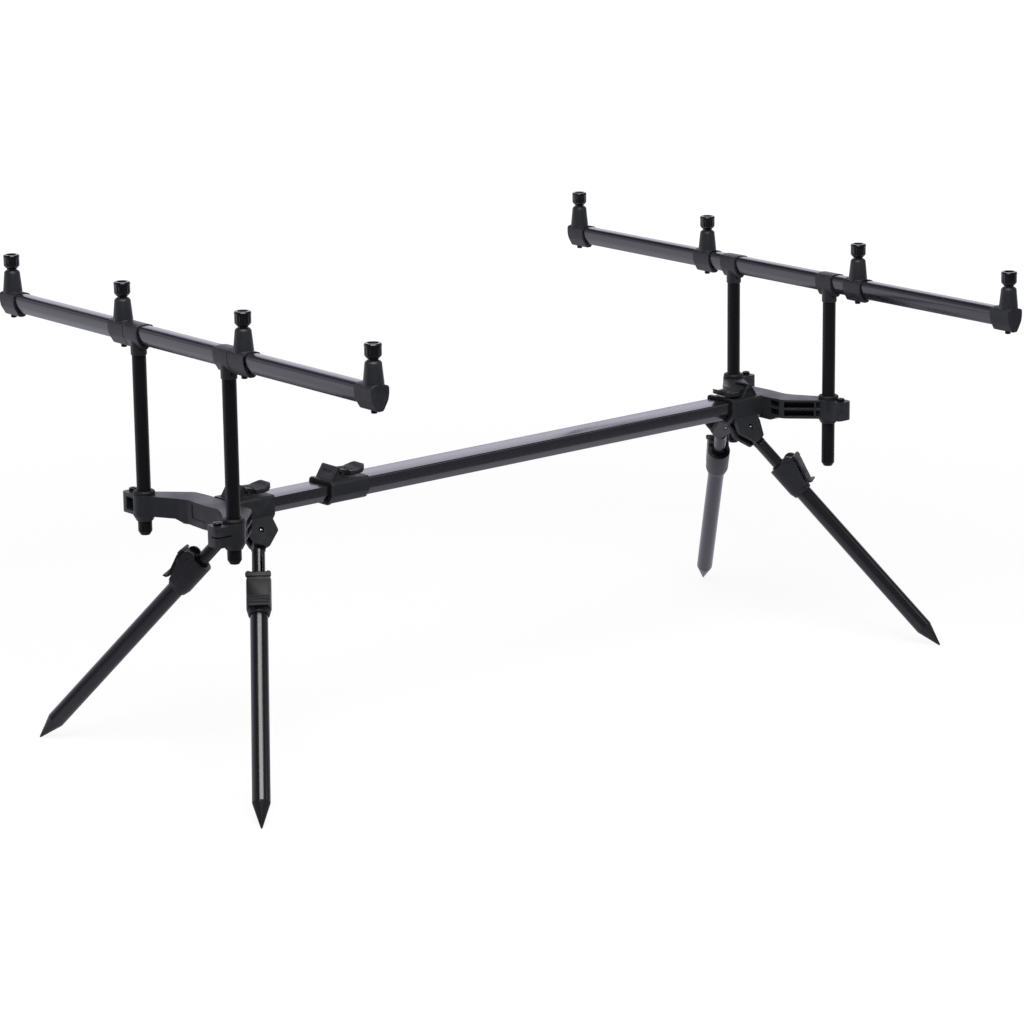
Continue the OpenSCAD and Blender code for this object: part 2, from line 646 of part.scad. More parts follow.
// Flip lever: a cam between the ears and a strip over their slope, with a hooked end
module leg_lever() {
    head_w = 2 * (ear_in - cheek_gap);
    near = lever_out + ear_r + 0.6;
    slope = slope_low - slope_high;
    clear = unit([-slope[1], slope[0]]) * 1.1;
    foot = slope_low - slope * 0.1 + clear;
    bend = slope_high + clear;
    thick = unit([-slope[1], slope[0]]) * flip_lever_t;
    rib = unit([-slope[1], slope[0]]) * rib_h;
    outer_low = foot + thick;
    outer_high = bend + thick + [near - bend[0], -0.6];
    rise_along = outer_high - outer_low;
    ribs = [
        for (part = rib_places, corner = [[0, 0], [0, 1], [rib_part, 1], [rib_part, 0]])
            outer_low + rise_along * (part + corner[0]) + rib * corner[1]
    ];
    color(moulding) difference() {
        union() {
            translate([-lever_out, 0, -lever_drop]) pin_y(flip_cam_r, head_w);
            along_y(-head_w / 2, head_w / 2) polygon(outward([
                [lever_out, -lever_drop - flip_cam_r], bend + [0.6, -0.6],
                [near + 0.6, -lever_drop + 1.5], [lever_out, -lever_drop + flip_cam_r]
            ]));
            intersection() {
                along_y(-flip_lever_w, flip_lever_w) polygon(outward(concat(
                    [
                        [near, -lever_drop + 2], [near, -lever_drop - 3.5],
                        bend + [near - bend[0], -1.2], foot, foot + [1.8, -3.2], foot + [5.4, -4.6],
                        foot + [5.8, -3], foot + [3.4, -1.6], outer_low
                    ],
                    ribs, [outer_high, [near + flip_lever_t, -lever_drop + 2]]
                )));
                along_x(-2 * near, 0) polygon([
                    [-flip_foot_w / 2, foot[1] - 2 * flip_lever_t],
                    [flip_foot_w / 2, foot[1] - 2 * flip_lever_t],
                    [flip_lever_w / 2, -lever_drop + 2 + past], [-flip_lever_w / 2, -lever_drop + 2 + past]
                ]);
            }
            intersection() {
                along_y(-flange_w / 2, flange_w / 2) polygon(outward(rounded(
                    [
                        [near, -lever_drop - 3.4], [near + flange_t, -lever_drop - 3.4],
                        [near + flange_t, -lever_drop + 2.4], [near, -lever_drop + 2.4]
                    ],
                    [sharp_r, 1.2, 1.2, sharp_r]
                )));
                along_x(-2 * near, 0) polygon(rounded(
                    [
                        [-flange_w / 2, -lever_drop - 3.4], [flange_w / 2, -lever_drop - 3.4],
                        [flange_w / 2, -lever_drop + 2.4], [-flange_w / 2, -lever_drop + 2.4]
                    ],
                    [2, 2, 2, 2]
                ));
            }
        }
        translate([-lever_out, 0, -lever_drop]) pin_y(lever_pin_d / 2 + run_gap, 2 * collar_d);
    }
}

module lower_tube() {
    color(black_tube) difference() {
        translate([0, 0, -leg_length + spike_len])
            cylinder(d = lower_d, h = leg_length - spike_len - lower_top);
        translate([0, 0, -leg_length]) cylinder(d = rod_d + 2 * run_gap, h = leg_length);
    }
}

module spike() {
    plug_r = rod_d / 2 + run_gap - seat_gap;
    color(black_metal) translate([0, 0, -leg_length]) rotate_extrude() polygon([
        [0, 0], [spike_tip_r, 0], [lower_d / 2, spike_len], [plug_r, spike_len],
        [plug_r, spike_len + spike_plug], [0, spike_len + spike_plug]
    ]);
}

// Buzz bars: a shield section with a crowned top at height 0
bar_shoulder = 1.2;
bar_wall = 1.5;
bar_side = 7.5;
// The hip, where the sides turn in towards the underside: its depth, and how far it lies in
bar_hip = 12.5;
bar_hip_in = 1.2;
bar_outline = [
    [-bar_foot / 2, -bar_h], [bar_foot / 2, -bar_h], [bar_w / 2 - bar_hip_in, -bar_hip],
    [bar_w / 2, -bar_side], [bar_w / 2, -bar_shoulder], [0, 0],
    [-bar_w / 2, -bar_shoulder], [-bar_w / 2, -bar_side], [bar_hip_in - bar_w / 2, -bar_hip]
];
bar_corners = [3, 3, 11, 11, 4.2, 28, 4.2, 11, 11];
rest_wall = 1.9;
rest_roof = 2;
rest_floor = 4;
collar_foot = bar_foot / 2 + 0.8;
collar_hip = bar_w / 2 + rest_wall - bar_hip_in;
collar_outline = [
    [-collar_foot, -bar_h - rest_floor], [collar_foot, -bar_h - rest_floor],
    [collar_hip, -bar_hip - rest_wall], [bar_w / 2 + rest_wall, -bar_side - 1],
    [bar_w / 2 + rest_wall, -bar_shoulder], [0, rest_roof], [-bar_w / 2 - rest_wall, -bar_shoulder],
    [-bar_w / 2 - rest_wall, -bar_side - 1], [-collar_hip, -bar_hip - rest_wall]
];
collar_corners = [3.4, 3.4, 11, 11, 3, 28, 3, 11, 11];
tee_drop = 6.5;
tee_seat = 10.5;
boss_wall = 1;
function rise(end) = end == "rear" ? rear_rise : front_rise;
function span(end) = end == "rear" ? rear_span : front_span;
function inner_place(end) = (end == "rear" ? rear_inner : front_inner) / 2;
// Height of a bar's top
function bar_top(end) = arm_top + ring_h + rise(end) + tee_drop + rest_floor + bar_h;
// Bar frames: the bar runs along Y with its top at height 0
module at_bar(end) {
    translate([end == "rear" ? -half_spread : half_spread, 0, bar_top(end)]) children();
}
end_out = 9.6;
end_wall = 2;
end_in = rest_len - end_out;
module bar_solid(y0, y1, d) { along_y(y0, y1) polygon(section(bar_outline, bar_corners, d)); }

module bar_tube(end) {
    reach = span(end) / 2 + end_out - end_wall - slide_gap;
    color(black_tube) at_bar(end) difference() {
        bar_solid(-reach, reach, 0);
        bar_solid(-reach - past, reach + past, bar_wall);
    }
}

// Tee: a collar round the bar with a boss for the upright
module tees(end) {
    boss_low = -bar_h - rest_floor - tee_drop;
    boss_d = upright_d + 2 * boss_wall;
    color(moulding) at_bar(end) for (side = [-1, 1]) translate([0, side * upright_gap / 2, 0])
        difference() {
            union() {
                along_y(-tee_len / 2, tee_len / 2) polygon(rounded(collar_outline, collar_corners));
                translate([0, 0, boss_low]) cylinder(d = boss_d, h = tee_drop + rest_floor);
                translate([0, 0, boss_low + tee_drop])
                    cylinder(d1 = boss_d, d2 = bar_w, h = rest_floor + bar_h / 2);
            }
            bar_solid(-rest_len, rest_len, -seat_gap);
            translate([0, 0, boss_low - past]) cylinder(d = upright_d + 2 * seat_gap, h = tee_seat + past);
        }
}

// Upright: a round tube with a chamfered plug in its lower end
plug_h = 4;
plug_end_d = 9.2;
plug_spigot = 10;
upright_wall = 1.5;
module upright(end, side) {
    low = -bar_h - rest_floor - tee_drop + tee_seat - upright_len;
    bore_r = upright_d / 2 - upright_wall;
    at_bar(end) translate([0, side * upright_gap / 2, low]) {
        color(black_metal) difference() {
            translate([0, 0, plug_h]) cylinder(d = upright_d, h = upright_len - plug_h);
            cylinder(r = bore_r, h = upright_len + past);
        }
        color(rubber) {
            cylinder(d1 = plug_end_d, d2 = upright_d, h = plug_h - seat_gap);
            translate([0, 0, plug_h - past]) cylinder(r = bore_r - seat_gap, h = plug_spigot + past);
        }
    }
}

// Rest: a collar on the bar with a cone that carries a thumb nut, and a set screw below
cone_edge = 1.8;
// How far the cone's foot is sunk in the collar
cone_sink = 4;
journal_d = 10;
journal_len = 10;
screw_d = 4;
screw_head_d = 6;
screw_head_h = 2.6;
module rest_solid(low, high, bore_low, bore_high, gap) {
    screw_low = -bar_h - rest_floor;
    cone_top = cone_sink + rest_roof + cone_h;
    color(moulding) difference() {
        union() {
            along_y(low, high) polygon(rounded(collar_outline, collar_corners));
            translate([0, 0, -cone_sink]) rotate_extrude() polygon([
                [0, 0], [cone_base_d / 2, 0], [cone_base_d / 2, cone_sink + rest_roof],
                [cone_top_d / 2, cone_top - cone_edge], [cone_top_d / 2 - cone_edge, cone_top], [0, cone_top]
            ]);
        }
        bar_solid(bore_low, bore_high, -gap);
        translate([0, 0, rest_roof + cone_h - journal_len - slide_gap])
            cylinder(d = journal_d + 2 * run_gap, h = journal_len + past);
        translate([0, 0, screw_low - past]) cylinder(d = screw_d + 2 * seat_gap, h = rest_floor + bar_h / 2);
    }
    color(black_metal) {
        translate([0, 0, screw_low - past]) cylinder(d = screw_d, h = past + rest_floor - slide_gap);
        translate([0, 0, screw_low - screw_head_h - seat_gap])
            cylinder(d = screw_head_d, h = screw_head_h);
    }
}
module end_rests(end) {
    reach = span(end) / 2;
    at_bar(end) for (side = [-1, 1]) rotate([0, 0, side > 0 ? 0 : 180]) translate([0, reach, 0])
        rest_solid(-end_in, end_out, -end_in - past, end_out - end_wall, seat_gap);
}
module inner_rest(end, side) {
    at_bar(end) translate([0, side * inner_place(end), 0])
        rest_solid(-rest_len / 2, rest_len / 2, -rest_len, rest_len, slide_gap);
}

// Thumb nut: turns on its journal in the cone, and takes the stud of a bite alarm or a rod rest
nut_gap = 2;
nut_bevel = 2.4;
nut_edge = 0.7;
nut_hole_deep = nut_h - 2;
module thumb_nut(end, y) {
    r = nut_d / 2;
    top = nut_gap + nut_h;
    color(black_metal) at_bar(end) translate([0, y, rest_roof + cone_h]) difference() {
        rotate_extrude() polygon([
            [0, -journal_len], [journal_d / 2, -journal_len], [journal_d / 2, nut_gap],
            [r - nut_bevel, nut_gap], [r, nut_gap + nut_bevel], [r, top - nut_edge], [r - nut_edge, top],
            [0, top]
        ]);
        translate([0, 0, top - nut_hole_deep]) cylinder(d = nut_hole_d, h = nut_hole_deep + past);
    }
}

outer_tube();
inner_tube();
inner_bush();
lock_sleeve();
lock_lever();
lock_pin();
at_head("rear") clamp(inner_inset, false);  // rear_clamp
at_head("rear") yoke();  // rear_yoke
at_head("rear") head_lever();  // rear_head_lever
at_head("rear") head_fasteners();  // rear_head_fasteners
at_head("rear") socket_rings();  // rear_socket_rings
at_head("front") clamp(0, true);  // front_clamp
at_head("front") yoke();  // front_yoke
at_head("front") head_lever();  // front_head_lever
at_head("front") head_fasteners();  // front_head_fasteners
at_head("front") socket_rings();  // front_socket_rings
for (end = ["rear", "front"], side = ["left", "right"]) {
    leg = str(end, "_", side, "_");
    way = side == "left" ? 1 : -1;
    at_leg(end, side) upper_rod();
    at_collar(end, side) lock_collar();
    at_collar(end, side) leg_lever();
    at_leg(end, side) lower_tube();
    at_leg(end, side) spike();
    upright(end, way);
    inner_rest(end, way);
    thumb_nut(end, way * inner_place(end));
    thumb_nut(end, way * span(end) / 2);
}
for (end = ["rear", "front"]) {
    bar_tube(end);
    tees(end);
    end_rests(end);
}
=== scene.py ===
import json
import math

import bmesh
import bpy
from mathutils import Matrix, Vector


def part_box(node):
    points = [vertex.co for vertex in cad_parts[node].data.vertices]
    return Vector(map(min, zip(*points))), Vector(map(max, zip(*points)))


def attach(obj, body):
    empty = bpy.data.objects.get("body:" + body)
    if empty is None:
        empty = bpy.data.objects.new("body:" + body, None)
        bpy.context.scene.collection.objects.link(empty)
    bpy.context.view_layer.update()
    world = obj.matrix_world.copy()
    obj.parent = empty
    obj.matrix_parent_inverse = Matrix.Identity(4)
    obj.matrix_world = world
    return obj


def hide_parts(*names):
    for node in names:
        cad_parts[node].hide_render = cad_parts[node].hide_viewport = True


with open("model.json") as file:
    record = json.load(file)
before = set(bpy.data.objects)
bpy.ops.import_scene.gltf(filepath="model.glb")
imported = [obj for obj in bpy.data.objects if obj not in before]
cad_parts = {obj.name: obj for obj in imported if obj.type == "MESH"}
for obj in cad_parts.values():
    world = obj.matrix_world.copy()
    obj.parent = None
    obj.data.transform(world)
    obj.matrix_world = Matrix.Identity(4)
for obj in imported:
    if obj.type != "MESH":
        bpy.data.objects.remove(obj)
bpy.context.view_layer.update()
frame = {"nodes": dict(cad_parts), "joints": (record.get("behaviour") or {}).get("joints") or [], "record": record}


# The studio: a white sweep under soft boxes, the way a black object is photographed for a catalogue.
# The floor and the far side look white to the camera and in reflections, and the near side of the
# room is dark, so that black faces turned to the camera stay black.
def add_node(tree, kind, inputs=None, **settings):
    """One node of a tree, with its settings and the values or links of its inputs."""
    made = tree.nodes.new(kind)
    for name, value in settings.items():
        setattr(made, name, value)
    for name, value in (inputs or {}).items():
        if isinstance(value, bpy.types.NodeSocket):
            tree.links.new(value, made.inputs[name])
        else:
            made.inputs[name].default_value = value
    return made


def worked(tree, operation, *values):
    """What a Math node makes of its values or links."""
    return add_node(tree, "ShaderNodeMath", dict(enumerate(values)), operation=operation).outputs[0]


def ranged(tree, value, start, end, low=0.0, high=1.0):
    """A value carried from one range to another, and held within it."""
    return add_node(tree, "ShaderNodeMapRange", {"Value": value, "From Min": start, "From Max": end,
                                                 "To Min": low, "To Max": high}).outputs[0]


def sees_white(tree):
    """1 for the rays that show the surroundings: camera, glossy and transmission rays."""
    path = add_node(tree, "ShaderNodeLightPath")
    shown = path.outputs["Is Camera Ray"]
    for ray in ("Is Glossy Ray", "Is Transmission Ray"):
        shown = worked(tree, "MAXIMUM", shown, path.outputs[ray])
    return path, shown


camera_place = Vector((-2.4315, -2.947, 1.169))
camera_yaw, camera_pitch, camera_roll = (math.radians(a) for a in (39.657, 14.34, -0.70))
camera_lens, camera_sensor, camera_reach = 133.77, 36, 60
look = Vector((math.sin(camera_yaw) * math.cos(camera_pitch),
               math.cos(camera_yaw) * math.cos(camera_pitch), -math.sin(camera_pitch)))
level = Vector((math.cos(camera_yaw), -math.sin(camera_yaw), 0))
upward = level.cross(look)
right = level * math.cos(camera_roll) + upward * math.sin(camera_roll)
top = upward * math.cos(camera_roll) - level * math.sin(camera_roll)
camera = bpy.data.objects.new("camera", bpy.data.cameras.new("camera"))
camera.data.lens = camera_lens
camera.data.sensor_width = camera_sensor
camera.data.clip_end = camera_reach
camera.matrix_world = Matrix((right, top, -look)).transposed().to_4x4()
camera.location = camera_place
bpy.context.scene.collection.objects.link(camera)
bpy.context.scene.camera = camera
bpy.context.scene.view_settings.view_transform = "Standard"

surroundings = bpy.data.worlds.new("surroundings")
surroundings.use_nodes = True
bpy.context.scene.world = surroundings
tree = surroundings.node_tree
tree.nodes.clear()
path, shown = sees_white(tree)
direction = add_node(tree, "ShaderNodeTexCoord").outputs["Generated"]
# The white backdrop stands a little left of straight ahead; it fades to the sides and below the ceiling
backdrop_turn = 0.3
backdrop_edge, backdrop_full, near_glow = 0.15, 0.85, 0.12
ceiling_start, ceiling_end, ceiling_glow = 0.43, 0.53, 0.05
backdrop_tint, plain_white = (0.83, 0.81, 1.0, 1), (1, 1, 1, 1)
fill_tint, fill_strength = (0.95, 0.96, 1.0, 1), 0.16
far_side = (Vector((look.x, look.y, 0)).normalized() - level * backdrop_turn).normalized()
facing = add_node(tree, "ShaderNodeVectorMath", {0: direction, 1: far_side}, operation="DOT_PRODUCT")
backdrop = ranged(tree, facing.outputs["Value"], backdrop_edge, backdrop_full, near_glow, 1.0)
height = add_node(tree, "ShaderNodeSeparateXYZ", {0: direction}).outputs["Z"]
ceiling = ranged(tree, height, ceiling_start, ceiling_end, 1.0, ceiling_glow)
room = worked(tree, "MULTIPLY", backdrop, ceiling)
reflected = add_node(tree, "ShaderNodeBackground", {"Color": backdrop_tint, "Strength": room})
white = add_node(tree, "ShaderNodeBackground", {"Color": plain_white, "Strength": 1.0})
fill = add_node(tree, "ShaderNodeBackground", {"Color": fill_tint, "Strength": fill_strength})
lit = add_node(tree, "ShaderNodeMixShader", {0: shown, 1: fill.outputs[0], 2: reflected.outputs[0]})
final = add_node(tree, "ShaderNodeMixShader",
                 {0: path.outputs["Is Camera Ray"], 1: lit.outputs[0], 2: white.outputs[0]})
add_node(tree, "ShaderNodeOutputWorld", {"Surface": final.outputs[0]})

# The floor: its shadows fade out between two distances from the middle. What black pieces mirror of it
# is dark on the near side and white on the far side.
floor_size = 14.0
shadow_full, shadow_gone, floor_glow = 0.8, 2.4, 0.90
shadow_grey, bounce_grey, card_tint = (0.14, 0.14, 0.14, 1), (0.45, 0.45, 0.46, 1), (0.88, 0.87, 1.0, 1)
far_way = (0.35, 1.0, 0.0)
card_levels = ((0.0, 0.12), (0.25, 0.18), (0.42, 0.48), (0.53, 0.66), (0.68, 1.0))
floor_paint = bpy.data.materials.new("white_floor")
floor_paint.use_nodes = True
tree = floor_paint.node_tree
tree.nodes.clear()
path, shown = sees_white(tree)
place = add_node(tree, "ShaderNodeNewGeometry").outputs["Position"]
away = add_node(tree, "ShaderNodeVectorMath", {0: place}, operation="LENGTH").outputs["Value"]
fade = ranged(tree, away, shadow_full, shadow_gone, floor_glow, 1.0)
paint = add_node(tree, "ShaderNodeBsdfDiffuse", {"Color": shadow_grey})
glow = add_node(tree, "ShaderNodeEmission", {"Color": plain_white, "Strength": fade})
seen = add_node(tree, "ShaderNodeAddShader", {0: paint.outputs[0], 1: glow.outputs[0]})
far_floor = add_node(tree, "ShaderNodeVectorMath", {0: place, 1: far_way}, operation="DOT_PRODUCT")
card = add_node(tree, "ShaderNodeValToRGB", {0: ranged(tree, far_floor.outputs["Value"], -1.0, 1.0)})
for position, brightness in card_levels:
    stop = (card.color_ramp.elements[0] if position == 0 else card.color_ramp.elements.new(position))
    stop.position = position
    stop.color = (brightness, brightness, brightness, 1)
card.color_ramp.elements.remove(card.color_ramp.elements[-1])
mirrored = add_node(tree, "ShaderNodeEmission", {"Color": card_tint, "Strength": card.outputs[0]})
bounce = add_node(tree, "ShaderNodeBsdfDiffuse", {"Color": bounce_grey})
other = add_node(tree, "ShaderNodeMixShader", {0: shown, 1: bounce.outputs[0], 2: mirrored.outputs[0]})
look_of_floor = add_node(tree, "ShaderNodeMixShader",
                         {0: path.outputs["Is Camera Ray"], 1: other.outputs[0], 2: seen.outputs[0]})
add_node(tree, "ShaderNodeOutputMaterial", {"Surface": look_of_floor.outputs[0]})
floor_mesh = bpy.data.meshes.new("floor")
half_floor = floor_size / 2
floor_mesh.from_pydata([(-half_floor, -half_floor, 0), (half_floor, -half_floor, 0),
                        (half_floor, half_floor, 0), (-half_floor, half_floor, 0)], [], [(0, 1, 2, 3)])
floor_mesh.materials.append(floor_paint)
floor = bpy.data.objects.new("floor", floor_mesh)
bpy.context.scene.collection.objects.link(floor)

# A soft box's place, what it points at, its width and height in metres, and its power in watts.
soft_boxes = {"overhead": ((-0.8, -1.0, 2.2), (-0.1, 0, 0.25), 1.7, 1.5, 52),
              "left_window": ((-2.6, 0.9, 1.2), (-0.2, 0, 0.3), 1.2, 1.2, 1.5),
              "right_window": ((1.9, -2.3, 1.3), (0.1, 0, 0.3), 1.4, 1.4, 5),
              "far_window": ((1.9, 2.4, 1.15), (0, 0, 0.25), 3.4, 1.0, 5)}
for name, (place, target, width, height, power) in soft_boxes.items():
    lamp = bpy.data.lights.new(name, "AREA")
    lamp.shape = "RECTANGLE"
    lamp.size = width
    lamp.size_y = height
    lamp.energy = power
    box = bpy.data.objects.new(name, lamp)
    box.location = place
    box.visible_camera = False
    box.rotation_euler = (Vector(target) - Vector(place)).to_track_quat("-Z", "Y").to_euler()
    bpy.context.scene.collection.objects.link(box)


# The ridge: two extruded aluminium tubes, one sliding in the other, anodised black.
# Drawing leaves faint lines along them, and the anodising varies a little from place to place.
mm = 0.001
weld_distance = 2e-6
flat_angle, sharp_angle, bevel_angle = (math.radians(a) for a in (0.5, 30, 28))


def linked(piece, mesh):
    made = bpy.data.objects.new(piece, mesh)
    bpy.context.scene.collection.objects.link(made)
    return made


def plain(piece):
    """The same piece with its modifiers worked into its mesh."""
    graph = bpy.context.evaluated_depsgraph_get()
    mesh = bpy.data.meshes.new_from_object(piece.evaluated_get(graph))
    piece.modifiers.clear()
    old = piece.data
    piece.data = mesh
    bpy.data.meshes.remove(old)
    mesh.name = piece.name
    return piece


def rounded(piece, edge, segments):
    """The same piece with its edges rounded."""
    bevel = piece.modifiers.new("edges", "BEVEL")
    bevel.width = edge
    bevel.segments = segments
    bevel.limit_method = "ANGLE"
    bevel.angle_limit = bevel_angle
    bevel.use_clamp_overlap = False
    bevel.harden_normals = True
    return plain(piece)


def separate_solids(shape):
    """The faces of each separate solid of a mesh, the largest solid first."""
    solids, left = [], set(shape.faces)
    while left:
        solid, edge = [], [left.pop()]
        while edge:
            face = edge.pop()
            solid.append(face)
            near = {other for line in face.edges for other in line.link_faces} & left
            left -= near
            edge.extend(near)
        points = [point.co for face in solid for point in face.verts]
        spread = Vector([max(p[i] for p in points) - min(p[i] for p in points) for i in range(3)])
        solids.append((spread.length, solid))
    solids.sort(key=lambda found: -found[0])
    return [solid for _, solid in solids]


def body_of(node):
    return next(name for name, nodes in frame["record"]["behaviour"]["bodies"].items() if node in nodes)


def finished(node, piece, edge, materials, segments=2):
    """The piece for a CAD node: its triangles merged into whole faces, its edges rounded, inside its box.
    With several materials, each separate solid takes the next one, from the largest solid on,
    and a solid that gets none is left out, because a fuller piece takes its place."""
    shape = bmesh.new()
    shape.from_mesh(frame["nodes"][node].data)
    bmesh.ops.remove_doubles(shape, verts=shape.verts[:], dist=weld_distance)
    bmesh.ops.dissolve_limit(shape, angle_limit=flat_angle, verts=shape.verts[:], edges=shape.edges[:])
    mesh = bpy.data.meshes.new(piece)
    several = isinstance(materials, (list, tuple))
    if several:
        used = [material for material in dict.fromkeys(materials) if material]
        unused = []
        for solid, material in zip(separate_solids(shape), materials):
            for face in solid:
                face.material_index = used.index(material) if material else 0
            unused += [] if material else solid
        bmesh.ops.delete(shape, geom=unused, context="FACES")
    shape.to_mesh(mesh)
    shape.free()
    mesh.materials.clear()
    for material in used if several else [materials]:
        mesh.materials.append(material)
    mesh.shade_smooth()
    mesh.set_sharp_from_angle(angle=sharp_angle)
    made = rounded(linked(piece, mesh), edge, segments)
    low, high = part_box(node)
    for point in made.data.vertices:
        point.co = [min(max(value, least), most) for value, least, most in zip(point.co, low, high)]
    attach(made, body_of(node))
    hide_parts(node)
    return made


def lie_along(piece, axes):
    """Store on each point its place along and across the piece, for patterns that follow it."""
    turn = axes.inverted()
    lie = piece.data.attributes.new("lie", "FLOAT_VECTOR", "POINT")
    for point, value in zip(piece.data.vertices, lie.data):
        value.vector = turn @ point.co


def group(name, inputs, outputs):
    """A shader node group with its named sockets, and its input and output nodes."""
    made = bpy.data.node_groups.new(name, "ShaderNodeTree")
    for label, kind, value in inputs:
        socket = made.interface.new_socket(label, in_out="INPUT", socket_type=kind)
        if value is not None:
            socket.default_value = value
    for label, kind in outputs:
        made.interface.new_socket(label, in_out="OUTPUT", socket_type=kind)
    return made, made.nodes.new("NodeGroupInput"), made.nodes.new("NodeGroupOutput")


def noise(tree, place, scale, detail):
    """Noise at a place, with so many grains to the metre."""
    return add_node(tree, "ShaderNodeTexNoise", {"Vector": place, "Scale": scale, "Detail": detail}).outputs[0]


# Lines drawn along a tube, from the die that it came through
drawn_lines, given, out = group(
    "drawn_lines",
    [("Place", "NodeSocketVector", None), ("Lines Per Metre", "NodeSocketFloat", 1800.0),
     ("Stretch", "NodeSocketFloat", 0.004)],
    [("Height", "NodeSocketFloat"), ("Tone", "NodeSocketFloat")])
split = add_node(drawn_lines, "ShaderNodeSeparateXYZ", {0: given.outputs["Place"]})
along = worked(drawn_lines, "MULTIPLY", split.outputs["X"], given.outputs["Stretch"])
squeezed = add_node(drawn_lines, "ShaderNodeCombineXYZ", {"X": along, "Y": split.outputs["Y"],
                                                          "Z": split.outputs["Z"]})
lines = noise(drawn_lines, squeezed.outputs[0], given.outputs["Lines Per Metre"], 3.0)
clouds = noise(drawn_lines, given.outputs["Place"], 9.0, 4.0)
drawn_lines.links.new(lines, out.inputs["Height"])
drawn_lines.links.new(clouds, out.inputs["Tone"])


def use(tree, shared, inputs):
    """A shared node group in a material, with its own values."""
    return add_node(tree, "ShaderNodeGroup", inputs, node_tree=shared)


def blended(tree, factor, first, second):
    """Two colours blended by a factor."""
    return add_node(tree, "ShaderNodeMix", {0: factor, 6: first, 7: second}, data_type="RGBA").outputs[2]


def new_material(name):
    """A new material with its tree and its shader."""
    made = bpy.data.materials.new(name)
    made.use_nodes = True
    return made, made.node_tree, made.node_tree.nodes["Principled BSDF"]


def relief(tree, shader, height, strength, depth):
    """Fine relief on a material."""
    bump = add_node(tree, "ShaderNodeBump", {"Strength": strength, "Distance": depth, "Height": height})
    tree.links.new(bump.outputs[0], shader.inputs["Normal"])


def anodised(name, dark, light, roughness, gloss):
    """Black anodised aluminium with drawn lines and cloudy tone."""
    made, tree, shader = new_material(name)
    place = add_node(tree, "ShaderNodeAttribute", attribute_name="lie").outputs["Vector"]
    drawn = use(tree, drawn_lines, {"Place": place})
    tone = blended(tree, drawn.outputs["Tone"], (*dark, 1), (*light, 1))
    tree.links.new(tone, shader.inputs["Base Color"])
    rough = ranged(tree, drawn.outputs["Height"], 0.3, 0.7, roughness - 0.05, roughness + 0.06)
    tree.links.new(rough, shader.inputs["Roughness"])
    relief(tree, shader, drawn.outputs["Height"], 0.03, 0.04 * mm)
    shader.inputs["Specular IOR Level"].default_value = gloss
    return made


tube_black = anodised("tube_black", (0.017, 0.017, 0.021), (0.022, 0.022, 0.028), 0.20, 1.0)
ridge_edge = 0.25 * mm
along_ridge = Matrix.Identity(4)
for node in ("outer_tube", "inner_tube"):
    lie_along(finished(node, node + "_extrusion", ridge_edge, tube_black), along_ridge)


# Moulded pieces: glass-filled nylon, charcoal, with the fine even texture of a spark-eroded mould.
# The lock sleeve is bonded on the end of the outer tube and carries the middle lever.
fine_texture, given, out = group(
    "fine_texture", [("Place", "NodeSocketVector", None), ("Grain Per Metre", "NodeSocketFloat", 2600.0)],
    [("Height", "NodeSocketFloat"), ("Tone", "NodeSocketFloat")])
grain = noise(fine_texture, given.outputs["Place"], given.outputs["Grain Per Metre"], 2.0)
clouds = noise(fine_texture, given.outputs["Place"], 38.0, 5.0)
fine_texture.links.new(grain, out.inputs["Height"])
fine_texture.links.new(clouds, out.inputs["Tone"])

# Edges that hands and bags have rubbed: a mask of the sharpest places, broken up
rubbed_edges, given, out = group(
    "rubbed_edges", [("Place", "NodeSocketVector", None), ("Amount", "NodeSocketFloat", 0.5)],
    [("Mask", "NodeSocketFloat")])
bent = add_node(rubbed_edges, "ShaderNodeNewGeometry").outputs["Pointiness"]
sharp = ranged(rubbed_edges, bent, 0.53, 0.62)
patchy = ranged(rubbed_edges, noise(rubbed_edges, given.outputs["Place"], 140.0, 5.0), 0.42, 0.62)
worn = worked(rubbed_edges, "MULTIPLY", sharp, patchy)
rubbed_edges.links.new(worked(rubbed_edges, "MULTIPLY", worn, given.outputs["Amount"]), out.inputs["Mask"])


def moulded(name, dark, light, roughness, gloss, rub=0.45):
    """Charcoal moulding with fine texture, cloudy tone and rubbed edges."""
    made, tree, shader = new_material(name)
    rubbed_tone = (0.11, 0.11, 0.12, 1)
    place = add_node(tree, "ShaderNodeTexCoord").outputs["Object"]
    texture = use(tree, fine_texture, {"Place": place})
    worn = use(tree, rubbed_edges, {"Place": place, "Amount": rub})
    tone = blended(tree, texture.outputs["Tone"], (*dark, 1), (*light, 1))
    tree.links.new(blended(tree, worn.outputs["Mask"], tone, rubbed_tone), shader.inputs["Base Color"])
    rough = ranged(tree, texture.outputs["Tone"], 0.3, 0.7, roughness - 0.06, roughness + 0.06)
    tree.links.new(rough, shader.inputs["Roughness"])
    relief(tree, shader, texture.outputs["Height"], 0.35, 0.06 * mm)
    shader.inputs["Specular IOR Level"].default_value = gloss
    return made


charcoal = moulded("charcoal_moulding", (0.020, 0.021, 0.024), (0.026, 0.027, 0.031), 0.42, 0.40)
mould_edge = 0.35 * mm
finished("lock_sleeve", "lock_sleeve_moulding", mould_edge, charcoal)


